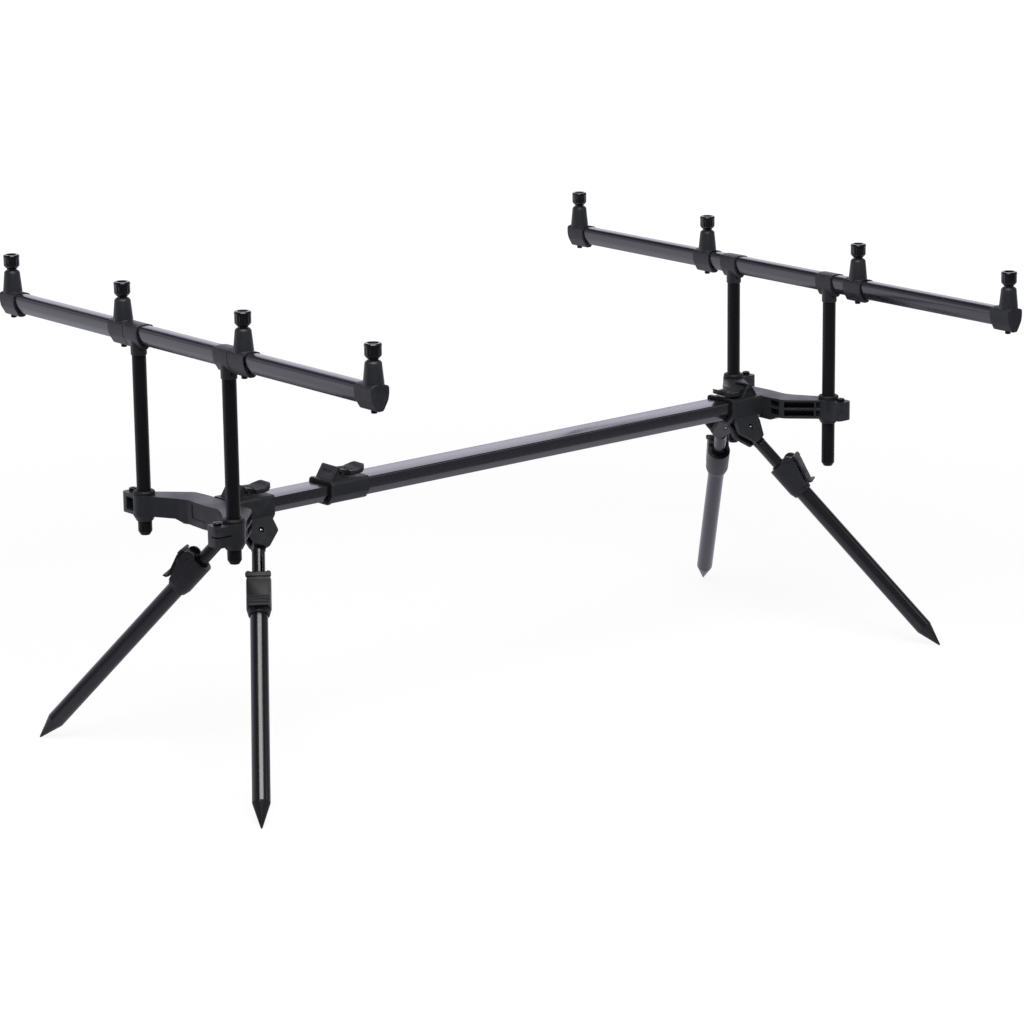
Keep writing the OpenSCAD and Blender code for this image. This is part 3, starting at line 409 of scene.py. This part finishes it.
# Seals: a black rubber lip in the mouth of the sleeve and of the front clamp, pressed in from outside.
# It wipes the tube that slides there.
def soft_rubber(name, colour, gloss):
    """Dull black rubber, a little lighter in places."""
    made, tree, shader = new_material(name)
    faded = (*(part * 1.7 for part in colour), 1)
    place = add_node(tree, "ShaderNodeTexCoord").outputs["Object"]
    texture = use(tree, fine_texture, {"Place": place, "Grain Per Metre": 1500.0})
    tree.links.new(blended(tree, texture.outputs["Tone"], (*colour, 1), faded), shader.inputs["Base Color"])
    relief(tree, shader, texture.outputs["Height"], 0.3, 0.08 * mm)
    shader.inputs["Roughness"].default_value = 0.55
    shader.inputs["Specular IOR Level"].default_value = gloss
    return made


same_point = 1e-7
loop_sharp_angle = math.radians(35)


def loops_joined(piece, loops, material, closed=True):
    """A mesh of loops of points, each joined to the next. The last one is joined to the first if the
    piece is a closed ring, and otherwise both ends are capped."""
    count = len(loops[0])
    points = [point for loop in loops for point in loop]
    faces = []
    for row in range(len(loops) if closed else len(loops) - 1):
        here, there = row * count, (row + 1) % len(loops) * count
        for i in range(count):
            beside = (i + 1) % count
            faces.append((here + i, here + beside, there + beside, there + i))
    if not closed:
        faces += [tuple(range(count)), tuple(range(len(points) - count, len(points)))]
    mesh = bpy.data.meshes.new(piece)
    mesh.from_pydata(points, [], faces)
    shape = bmesh.new()
    shape.from_mesh(mesh)
    bmesh.ops.remove_doubles(shape, verts=shape.verts[:], dist=same_point)
    bmesh.ops.recalc_face_normals(shape, faces=shape.faces[:])
    shape.to_mesh(mesh)
    shape.free()
    mesh.materials.append(material)
    mesh.shade_smooth()
    mesh.set_sharp_from_angle(angle=loop_sharp_angle)
    return linked(piece, mesh)


# The outer tube's section, from its top: half its width, that of its foot, its height and its sides' height
half_top, half_foot, tube_height, side_height = 16.1 * mm, 10.1 * mm, 19.6 * mm, 11.5 * mm
tube_outline = [Vector(corner) for corner in (
    (-half_foot, -tube_height), (half_foot, -tube_height), (half_top, -side_height),
    (half_top, 0), (-half_top, 0), (-half_top, -side_height))]
ridge_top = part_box("outer_tube")[1][2]


def ridge_loop(x, grow, corner=2 * mm, steps=6):
    """Points round the ridge's section at a place along it, grown outwards, with rounded corners."""
    loop = []
    befores, afters = tube_outline[-1:] + tube_outline, tube_outline[1:] + tube_outline
    for before, here, after in zip(befores, tube_outline, afters):
        first, second = (here - before).normalized(), (after - here).normalized()
        out_first, out_second = Vector((first.y, -first.x)), Vector((second.y, -second.x))
        reach = (out_first + out_second) / (1 + out_first.dot(out_second))
        for step in range(steps + 1):
            way = out_first.lerp(out_second, step / steps).normalized()
            place = here + reach * (grow - corner) + way * corner
            loop.append((x, place.x, ridge_top + place.y))
    return loop


ring_rubber = soft_rubber("ring_rubber", (0.008, 0.008, 0.009), 0.4)
seal_rubber = soft_rubber("seal_rubber", (0.003, 0.003, 0.003), 0.2)
# A seal's section in mm: how far out of the mouth, and how far out from its bore
lip_section = ((-0.4, 0), (1.2, 0), (1.8, 0.5), (1.8, 1.7), (1.0, 2.5), (-0.4, 2.5))
# Node that holds the seal, and how far in mm the seal's bore is grown from the outer tube
for node, bore in (("lock_sleeve", -1.3), ("front_clamp", 0.1)):
    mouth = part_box(node)[0][0]
    lip = [ridge_loop(mouth - ahead * mm, (bore + grow) * mm) for ahead, grow in lip_section]
    seal = loops_joined(node + "_seal", lip, seal_rubber)
    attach(seal, body_of(node))
bush_edge = 0.3 * mm
finished("inner_bush", "inner_bush_nylon", bush_edge, ring_rubber)


# Levers: moulded cams with a thumb paddle, one on the sleeve and one on each clamp, on steel pins.
# Ridges across the paddle keep a wet thumb from slipping.
def node_tree(name, inputs):
    """A tree of geometry nodes with its named sizes, and its input and output nodes."""
    made = bpy.data.node_groups.new(name, "GeometryNodeTree")
    made.interface.new_socket("Geometry", in_out="OUTPUT", socket_type="NodeSocketGeometry")
    made.interface.new_socket("Geometry", in_out="INPUT", socket_type="NodeSocketGeometry")
    for label, kind in inputs:
        made.interface.new_socket(label, in_out="INPUT", socket_type=kind)
    return made, made.nodes.new("NodeGroupInput"), made.nodes.new("NodeGroupOutput")


def grown(piece, mesh, tree, sizes):
    """The plain mesh that a tree of geometry nodes makes from a start mesh and its sizes."""
    made = linked(piece, mesh)
    growth = made.modifiers.new("growth", "NODES")
    growth.node_group = tree
    for socket in tree.interface.items_tree:
        if socket.in_out == "INPUT" and socket.name in sizes:
            growth[socket.identifier] = sizes[socket.name]
    plain(made)
    made.data.shade_smooth()
    made.data.set_sharp_from_angle(angle=sharp_angle)
    return made


def realized(tree, given, out, shape):
    """The end of each tree: instances made real, and their finish."""
    real = add_node(tree, "GeometryNodeRealizeInstances", {"Geometry": shape})
    painted = add_node(tree, "GeometryNodeSetMaterial", {"Geometry": real.outputs[0],
                                                         "Material": given.outputs["Finish"]})
    tree.links.new(painted.outputs[0], out.inputs["Geometry"])


thumb_ridges, given, out = node_tree("thumb_ridges", [
    ("First", "NodeSocketVector"), ("Step", "NodeSocketVector"), ("Count", "NodeSocketInt"),
    ("Half Length", "NodeSocketFloat"), ("Radius", "NodeSocketFloat"), ("Finish", "NodeSocketMaterial")])
left_end = add_node(thumb_ridges, "ShaderNodeCombineXYZ", {"Y": given.outputs["Half Length"]})
right_end = add_node(thumb_ridges, "ShaderNodeVectorMath", {0: left_end.outputs[0], 1: (0, -1, 0)},
                     operation="MULTIPLY")
bar = add_node(thumb_ridges, "GeometryNodeCurvePrimitiveLine", {
    "Start": left_end.outputs[0], "End": right_end.outputs[0]})
round_bar = add_node(thumb_ridges, "GeometryNodeCurvePrimitiveCircle", {
    "Resolution": 12, "Radius": given.outputs["Radius"]})
ridge = add_node(thumb_ridges, "GeometryNodeCurveToMesh", {
    "Curve": bar.outputs[0], "Profile Curve": round_bar.outputs[0], "Fill Caps": True})
row = add_node(thumb_ridges, "GeometryNodeMeshLine", {
    "Count": given.outputs["Count"], "Start Location": given.outputs["First"], "Offset": given.outputs["Step"]})
ridges = add_node(thumb_ridges, "GeometryNodeInstanceOnPoints", {
    "Points": row.outputs[0], "Instance": ridge.outputs[0]})
realized(thumb_ridges, given, out, ridges.outputs[0])

joints = {joint["name"]: joint for joint in frame["joints"]}
# The levers' charcoal is darker than the heads' charcoal: painted shade, standing in for the dark surroundings
# that the paddles mirror
lever_charcoal_painted_shade = moulded("lever_charcoal_painted_shade", (0.011, 0.011, 0.013), (0.016, 0.016, 0.018), 0.46, 0.35)
# The first ridge's place from the lever's pin, the step to the next, and the sizes of each
ridge_ahead, ridge_lift = 14.0 * mm, 0.55 * mm
ridge_step, ridge_fall = 2.4 * mm, 0.17 * mm
ridge_count, ridge_half, ridge_radius = 4, 8.5 * mm, 0.65 * mm
levers = (("lock_lever", "ridge_lock_flip", 1), ("rear_head_lever", "rear_head_lever_flip", 1),
          ("front_head_lever", "front_head_lever_flip", -1))
for node, joint, way in levers:
    finished(node, node + "_moulding", mould_edge, lever_charcoal_painted_shade)
    pin = Vector(joints[joint]["pos_m"])
    ridge_row = grown(node + "_thumb_ridges", bpy.data.meshes.new(node + "_thumb_ridges"), thumb_ridges, {
        "First": pin + Vector((way * ridge_ahead, 0, ridge_lift)),
        "Step": Vector((way * ridge_step, 0, -ridge_fall)), "Count": ridge_count,
        "Half Length": ridge_half, "Radius": ridge_radius, "Finish": lever_charcoal_painted_shade})
    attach(ridge_row, body_of(node))


# Heads: at each end a clamp on the tube, with fork plates for the legs, and a yoke whose arms hold
# the uprights in round sockets. Both are moulded, and meet face to face.
for end in ("rear", "front"):
    finished(end + "_clamp", end + "_clamp_moulding", mould_edge, charcoal)
    finished(end + "_yoke", end + "_yoke_moulding", mould_edge, charcoal)


# Fasteners: turned steel pins for the levers and legs, each leg pin with a bright riveted end, and black
# socket-head screws that close the clamp noses. A rubber ring sits on each socket.
def steel(name, colour, roughness):
    """Turned steel, a little darker and rougher in places."""
    made, tree, shader = new_material(name)
    darker = (*(part * 0.75 for part in colour), 1)
    place = add_node(tree, "ShaderNodeTexCoord").outputs["Object"]
    texture = use(tree, fine_texture, {"Place": place, "Grain Per Metre": 900.0})
    tree.links.new(blended(tree, texture.outputs["Tone"], (*colour, 1), darker), shader.inputs["Base Color"])
    rough = ranged(tree, texture.outputs["Height"], 0.0, 1.0, roughness - 0.08, roughness + 0.1)
    tree.links.new(rough, shader.inputs["Roughness"])
    shader.inputs["Metallic"].default_value = 1.0
    return made


def on_places(tree, given, out, shape):
    """A shape on each point of the start mesh, turned the way that the point faces."""
    facing = add_node(tree, "GeometryNodeInputNamedAttribute", {"Name": "facing"}, data_type="FLOAT_VECTOR")
    turn = add_node(tree, "FunctionNodeAlignRotationToVector", {"Vector": facing.outputs["Attribute"]},
                    axis="Z")
    points = add_node(tree, "GeometryNodeMeshToPoints", {"Mesh": given.outputs["Geometry"]})
    copies = add_node(tree, "GeometryNodeInstanceOnPoints", {
        "Points": points.outputs[0], "Instance": shape, "Rotation": turn.outputs[0]})
    realized(tree, given, out, copies.outputs[0])


def middle_of(node):
    """The middle of a CAD node's box."""
    low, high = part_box(node)
    return (Vector(low) + Vector(high)) / 2


def places(piece, spots):
    """A start mesh of points, each with the way that it faces."""
    mesh = bpy.data.meshes.new(piece)
    mesh.from_pydata([spot for spot, _ in spots], [], [])
    facing = mesh.attributes.new("facing", "FLOAT_VECTOR", "POINT")
    for value, (_, way) in zip(facing.data, spots):
        value.vector = way
    return mesh


socket_screws, given, out = node_tree("socket_screws", [
    ("Head Radius", "NodeSocketFloat"), ("Head Height", "NodeSocketFloat"), ("Edge", "NodeSocketFloat"),
    ("Key Radius", "NodeSocketFloat"), ("Key Depth", "NodeSocketFloat"), ("Finish", "NodeSocketMaterial")])
head_radius, edge_size = given.outputs["Head Radius"], given.outputs["Edge"]
wall = worked(socket_screws, "SUBTRACT", given.outputs["Head Height"], edge_size)
top_radius = worked(socket_screws, "SUBTRACT", head_radius, edge_size)
side = add_node(socket_screws, "GeometryNodeMeshCone", {
    "Vertices": 32, "Radius Top": head_radius, "Radius Bottom": head_radius, "Depth": wall})
edge = add_node(socket_screws, "GeometryNodeMeshCone", {
    "Vertices": 32, "Radius Top": top_radius, "Radius Bottom": head_radius, "Depth": edge_size})
edge_place = add_node(socket_screws, "ShaderNodeCombineXYZ", {"Z": wall})
edge_up = add_node(socket_screws, "GeometryNodeTransform", {
    "Geometry": edge.outputs["Mesh"], "Translation": edge_place.outputs[0]})
head = add_node(socket_screws, "GeometryNodeMeshBoolean", operation="UNION")
for solid in (side.outputs["Mesh"], edge_up.outputs[0]):
    socket_screws.links.new(solid, head.inputs[1])
key_length = worked(socket_screws, "MULTIPLY", given.outputs["Key Depth"], 2.0)
key = add_node(socket_screws, "GeometryNodeMeshCylinder", {
    "Vertices": 6, "Radius": given.outputs["Key Radius"], "Depth": key_length})
key_place = add_node(socket_screws, "ShaderNodeCombineXYZ", {"Z": given.outputs["Head Height"]})
key_up = add_node(socket_screws, "GeometryNodeTransform", {
    "Geometry": key.outputs["Mesh"], "Translation": key_place.outputs[0]})
keyed = add_node(socket_screws, "GeometryNodeMeshBoolean", {0: head.outputs[0], 1: key_up.outputs[0]},
                 operation="DIFFERENCE")
on_places(socket_screws, given, out, keyed.outputs[0])

pin_ends, given, out = node_tree("pin_ends", [
    ("Radius", "NodeSocketFloat"), ("Rise", "NodeSocketVector"), ("Finish", "NodeSocketMaterial")])
ball = add_node(pin_ends, "GeometryNodeMeshUVSphere", {
    "Segments": 20, "Rings": 12, "Radius": given.outputs["Radius"]})
dome = add_node(pin_ends, "GeometryNodeTransform", {
    "Geometry": ball.outputs["Mesh"], "Scale": given.outputs["Rise"]})
on_places(pin_ends, given, out, dome.outputs[0])

pin_steel = steel("pin_steel", (0.62, 0.62, 0.64), 0.28)
black_steel = steel("black_steel", (0.045, 0.045, 0.05), 0.3)
pin_edge, ring_edge = 0.2 * mm, 0.5 * mm
finished("lock_pin", "lock_pin_steel", pin_edge, black_steel)
upward_way = Vector((0, 0, 1))
nose_screw_place = 19 * mm
pin_half = 6.8 * mm
for end, way in (("rear", 1), ("front", -1)):
    fasteners = end + "_head_fasteners"
    # The lever's pin and the legs' pins; the two clamp screws get keyed heads below
    finished(fasteners, fasteners + "_steel", pin_edge, [black_steel, black_steel, black_steel, None, None])
    spots = []
    for side, nose in (("left", Vector((0, 1, 0))), ("right", Vector((-1, 0, 0)))):
        # The front head is the rear one turned about, so its sides change places
        upright = end + "_" + (side if way > 0 else {"left": "right", "right": "left"}[side]) + "_upright"
        middle = middle_of(upright) + nose * way * nose_screw_place
        middle.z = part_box(end + "_yoke")[1][2]
        spots.append((middle, upward_way))
    screws = grown(end + "_nose_screws", places(end + "_nose_screws", spots), socket_screws, {
        "Head Radius": 4 * mm, "Head Height": 3.2 * mm, "Edge": 0.5 * mm, "Key Radius": 2.3 * mm,
        "Key Depth": 2 * mm, "Finish": black_steel})
    spots = []
    for side in ("left", "right"):
        fold = joints[end + "_" + side + "_leg_fold"]
        pivot, across = Vector(fold["pos_m"]), Vector(fold["axis"])
        spots += [(pivot + across * pin_half * face, across * face) for face in (-1, 1)]
    ends = grown(end + "_pin_ends", places(end + "_pin_ends", spots), pin_ends, {
        "Radius": 1.5 * mm, "Rise": (1, 1, 0.5), "Finish": pin_steel})
    for piece in (screws, ends):
        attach(piece, body_of(fasteners))
    finished(end + "_socket_rings", end + "_socket_rings_rubber", ring_edge, ring_rubber, 3)


# Legs: a rod with a flat eye folds on the head and slides in a lower tube, where a moulded collar
# with a flip lever locks it. The tubes are anodised, and a steel spike plugs each lower end.
leg_black = anodised("leg_black", (0.011, 0.011, 0.013), (0.014, 0.014, 0.017), 0.21, 0.7)
spike_black = moulded("spike_black", (0.011, 0.011, 0.012), (0.015, 0.015, 0.017), 0.34, 0.5, 0.0)
leg_edge, spike_edge = 0.25 * mm, 0.15 * mm
# A rubber wiper in the collar's mouth: distance from the pivot, and radius, in mm
wiper_section = ((49.9, 6.65), (49.9, 7.8), (50.4, 8.35), (52.2, 8.35), (52.2, 6.65))


def turned_loop(axes, along, radius, steps=48):
    """A ring of points round the first axis of a frame."""
    turns = [2 * math.pi * step / steps for step in range(steps)]
    return [axes @ Vector((along, radius * math.cos(turn), radius * math.sin(turn))) for turn in turns]


legs = [end + "_" + side for end in ("rear", "front") for side in ("left", "right")]
for leg in legs:
    down = Vector(joints[leg + "_leg_extend"]["axis"])
    across = Vector(joints[leg + "_leg_fold"]["axis"])
    pivot = Vector(joints[leg + "_leg_fold"]["pos_m"])
    along_leg = Matrix((down, across, down.cross(across))).transposed().to_4x4()
    along_leg.translation = pivot
    rod = finished(leg + "_upper_rod", leg + "_upper_rod_anodised", leg_edge, [leg_black, charcoal, pin_steel])
    tube = finished(leg + "_lower_tube", leg + "_lower_tube_anodised", leg_edge, leg_black)
    for piece in (rod, tube):
        lie_along(piece, along_leg)
    collar = leg + "_lock_collar"
    finished(collar, collar + "_moulding", mould_edge, [charcoal, black_steel])
    rings = [turned_loop(along_leg, away * mm, radius * mm) for away, radius in wiper_section]
    wiper = loops_joined(leg + "_wiper", rings, seal_rubber)
    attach(wiper, body_of(collar))
    finished(leg + "_leg_lever", leg + "_leg_lever_moulding", mould_edge, lever_charcoal_painted_shade)
    finished(leg + "_spike", leg + "_spike_turned", spike_edge, spike_black)


# Buzz bars: a shield-shaped aluminium tube on two uprights, with moulded tees, end rests and sliding rests.
# Each rest is held on the bar by a black socket screw from below.
along_bar = Matrix.Rotation(math.pi / 2, 4, "Z")
upright_black = anodised("upright_black", (0.006, 0.006, 0.007), (0.008, 0.008, 0.009), 0.42, 0.25)
along_upright = Matrix.Rotation(-math.pi / 2, 4, "Y")
set_screw_head = 2.6 * mm
rest_edge, upright_edge = 0.7 * mm, 0.2 * mm
downward_way = Vector((0, 0, -1))


def set_screws(rest, nuts):
    """The screws below a rest, each in line with the nut on top."""
    spots = []
    for nut in nuts:
        middle = middle_of(nut)
        middle.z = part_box(rest)[0][2] + set_screw_head
        spots.append((middle, downward_way))
    made = grown(rest + "_set_screws", places(rest + "_set_screws", spots), socket_screws, {
        "Head Radius": 3 * mm, "Head Height": set_screw_head, "Edge": 0.4 * mm, "Key Radius": 1.7 * mm,
        "Key Depth": 1.6 * mm, "Finish": black_steel})
    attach(made, body_of(rest))


for end in ("rear", "front"):
    lie_along(finished(end + "_bar_tube", end + "_bar_extrusion", ridge_edge, tube_black), along_bar)
    finished(end + "_tees", end + "_tees_moulding", mould_edge, charcoal)
    rests = end + "_end_rests"
    finished(rests, rests + "_moulding", mould_edge, [charcoal, charcoal, None, None])
    set_screws(rests, [end + "_left_end_nut", end + "_right_end_nut"])
    for side in ("left", "right"):
        upright = f"{end}_{side}_upright"
        tube = finished(upright, upright + "_tube", upright_edge, [upright_black, ring_rubber])
        lie_along(tube, along_upright)
        rest = f"{end}_{side}_inner_rest"
        finished(rest, rest + "_moulding", rest_edge, [charcoal, None], 3)
        set_screws(rest, [f"{end}_{side}_inner_nut"])


# Thumb nuts: turned aluminium, anodised black, with a plain rim, flutes for the fingers, and a tapped
# hole for the stud of a bite alarm. The neck turns in the cone below.
fluted_nut, given, out = node_tree("fluted_nut", [
    ("Flutes", "NodeSocketFloat"), ("Flute Depth", "NodeSocketFloat"), ("Pitch", "NodeSocketFloat"),
    ("Thread Depth", "NodeSocketFloat"), ("Place", "NodeSocketVector"), ("Finish", "NodeSocketMaterial")])
position = add_node(fluted_nut, "GeometryNodeInputPosition").outputs[0]
spot = add_node(fluted_nut, "ShaderNodeSeparateXYZ", {0: position})
turn = worked(fluted_nut, "ARCTAN2", spot.outputs["Y"], spot.outputs["X"])
wave = worked(fluted_nut, "COSINE", worked(fluted_nut, "MULTIPLY", turn, given.outputs["Flutes"]))
flute = add_node(fluted_nut, "ShaderNodeMapRange", {
    "Value": wave, "From Min": -0.1, "From Max": 1.0, "To Min": 0.0, "To Max": given.outputs["Flute Depth"]},
    interpolation_type="SMOOTHSTEP")
fluted = add_node(fluted_nut, "GeometryNodeInputNamedAttribute", {"Name": "fluted"}, data_type="FLOAT")
inward = worked(fluted_nut, "MULTIPLY", flute.outputs[0], fluted.outputs["Attribute"])
turns_down = worked(fluted_nut, "DIVIDE", spot.outputs["Z"], given.outputs["Pitch"])
climb = worked(fluted_nut, "MULTIPLY", turns_down, 2 * math.pi)
crest = worked(fluted_nut, "COSINE", worked(fluted_nut, "SUBTRACT", climb, turn))
root = ranged(fluted_nut, crest, -1.0, 1.0, 0.0, given.outputs["Thread Depth"])
threaded = add_node(fluted_nut, "GeometryNodeInputNamedAttribute", {"Name": "threaded"}, data_type="FLOAT")
outward = worked(fluted_nut, "MULTIPLY", root, threaded.outputs["Attribute"])
move = worked(fluted_nut, "SUBTRACT", outward, inward)
across = add_node(fluted_nut, "ShaderNodeCombineXYZ", {"X": spot.outputs["X"], "Y": spot.outputs["Y"]})
radial = add_node(fluted_nut, "ShaderNodeVectorMath", {0: across.outputs[0]}, operation="NORMALIZE")
shift = add_node(fluted_nut, "ShaderNodeVectorMath", {0: radial.outputs[0], "Scale": move}, operation="SCALE")
cut = add_node(fluted_nut, "GeometryNodeSetPosition", {
    "Geometry": given.outputs["Geometry"], "Offset": shift.outputs[0]})
placed = add_node(fluted_nut, "GeometryNodeTransform", {
    "Geometry": cut.outputs[0], "Translation": given.outputs["Place"]})
realized(fluted_nut, given, out, placed.outputs[0])

# The nut's section from the foot of its neck to the floor of its hole, in mm: height, radius, and how much
# the flutes and the thread cut there
hole_radius, hole_floor = 4.2, 4.0
thread_top, thread_length, thread_rings = 14.2, 10.0, 66
nut_section = [(-9.5, 4.7, 0, 0), (-9.2, 5.0, 0, 0), (2.0, 5.0, 0, 0), (2.0, 5.7, 0, 0),
               (2.15, 6.0, 0, 0), (4.3, 7.75, 0, 0), (4.7, 7.95, 0, 0), (5.2, 8.0, 0.3, 0),
               (5.8, 8.0, 1, 0), (11.6, 8.0, 1, 0), (12.2, 8.0, 0.3, 0), (12.5, 7.9, 0, 0),
               (12.7, 7.9, 0, 0), (12.9, 8.2, 0, 0), (13.1, 8.25, 0, 0), (14.8, 8.25, 0, 0),
               (15.1, 8.15, 0, 0), (15.8, 7.5, 0, 0), (16.0, 7.2, 0, 0), (16.0, 5.35, 0, 0),
               (15.9, 5.2, 0, 0), (14.7, 5.1, 0, 0), (14.6, 5.0, 0, 0), (14.5, hole_radius, 0, 0)]
nut_section += [(thread_top - thread_length * ring / thread_rings, hole_radius, 0, 1)
                for ring in range(thread_rings + 1)]
nut_section += [(hole_floor, hole_radius, 0, 0)]
nut_points = 84
nut_black = moulded("nut_black", (0.004, 0.004, 0.005), (0.006, 0.006, 0.007), 0.16, 0.65, 0.0)
nut_height = 16 * mm
for end in ("rear", "front"):
    for place in ("left_end", "left_inner", "right_inner", "right_end"):
        node = f"{end}_{place}_nut"
        low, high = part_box(node)
        rings = [turned_loop(along_upright, height * mm, radius * mm, nut_points)
                 for height, radius, _, _ in nut_section]
        blank = loops_joined(node + "_blank", rings, nut_black, closed=False)
        mesh = blank.data
        bpy.data.objects.remove(blank)
        for name, column in (("fluted", 2), ("threaded", 3)):
            cuts = mesh.attributes.new(name, "FLOAT", "POINT")
            for index, value in enumerate(cuts.data):
                value.value = nut_section[index // nut_points][column]
        nut = grown(node + "_turned", mesh, fluted_nut, {
            "Flutes": 14.0, "Flute Depth": 0.55 * mm, "Pitch": 1.27 * mm, "Thread Depth": 0.55 * mm,
            "Place": Vector(((low[0] + high[0]) / 2, (low[1] + high[1]) / 2, high[2] - nut_height)),
            "Finish": nut_black})
        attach(nut, body_of(node))
        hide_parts(node)
